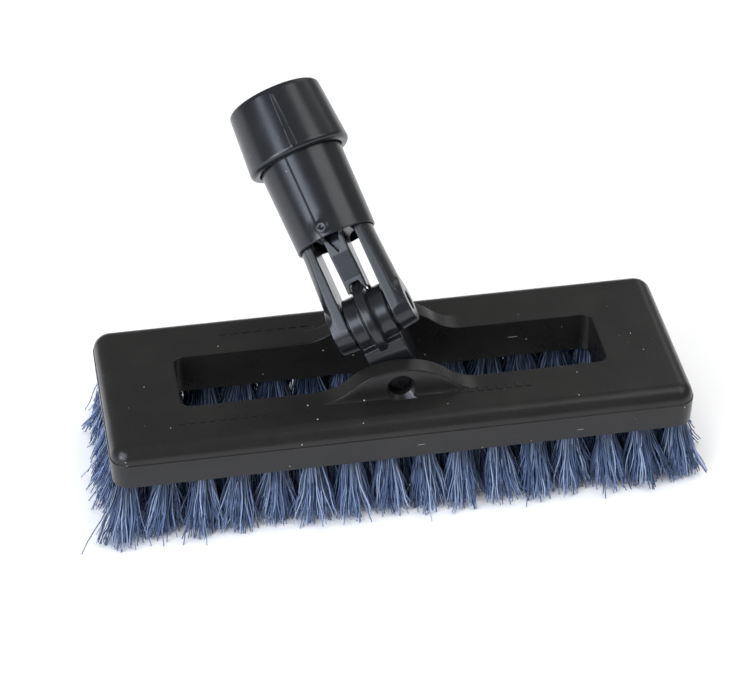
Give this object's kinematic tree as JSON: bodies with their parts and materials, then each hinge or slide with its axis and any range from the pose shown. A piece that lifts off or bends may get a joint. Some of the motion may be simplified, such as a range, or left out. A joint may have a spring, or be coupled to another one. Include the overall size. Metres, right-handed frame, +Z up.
{
  "type": "swivel floor scrub brush",
  "caption": "Manual floor scrub brush head: slotted block with tufted bristles and a lockable two-axis swivel joint with a pole socket.",
  "frame": {"origin": "on the floor at the bristle tips, under the middle of the whole part's bounding box", "axes": "+X along the brush block's length, +Y to the rear where the pole leans, +Z up from the floor"},
  "size_m": [0.2672, 0.1428, 0.1515],
  "materials": {
    "block_plastic": "moulded polypropylene, satin to gloss",
    "joint_plastic": "moulded polymer, satin",
    "bristle": "crimped bristle, satin",
    "steel": "turned, black oxide",
    "nylon": "moulded nylon, matte"
  },
  "bodies": {
    "block": {"brush_block": "block_plastic", "front_outer_tufts": "bristle", "front_inner_tufts": "bristle", "rear_outer_tufts": "bristle", "rear_inner_tufts": "bristle", "left_outer_tufts": "bristle", "left_inner_tufts": "bristle", "right_outer_tufts": "bristle", "right_inner_tufts": "bristle"},
    "trunnion": {"swivel_trunnion": "joint_plastic", "swivel_axle": "steel"},
    "socket": {"socket_fork": "joint_plastic", "socket_tube": "joint_plastic", "tilt_pin": "steel", "left_thrust_washer": "joint_plastic", "right_thrust_washer": "joint_plastic", "thread_insert": "nylon", "collar_wave_washer": "steel", "collar_snap_ring": "steel"},
    "lock": {"lock_sleeve": "joint_plastic", "lock_tongue": "joint_plastic"},
    "collar": {"lock_collar": "joint_plastic"}
  },
  "joints": [
    {"name": "swivel", "type": "hinge", "parent": "block", "child": "trunnion", "pos_m": [0, -0.02089, 0.054], "axis": [0, 1, 0], "range_deg": [-20, 70]},
    {"name": "tilt", "type": "hinge", "parent": "trunnion", "child": "socket", "pos_m": [-0.00803, -0.02089, 0.07122], "axis": [0.9063, 0, 0.4226], "range_deg": [-21, 117]},
    {"name": "collar_turn", "type": "hinge", "parent": "socket", "child": "collar", "pos_m": [-0.00803, -0.02089, 0.07122], "axis": [-0.2828, 0.7431, 0.6064], "range_deg": [0, 90]},
    {"name": "lock_slide", "type": "slide", "parent": "socket", "child": "lock", "axis": [0.2828, -0.7431, -0.6064], "range_m": [0, 0.001]}
  ],
  "couplings": [
    {"joint": "lock_slide", "follows": "collar_turn", "m_per_rad": 0.0006}
  ]
}
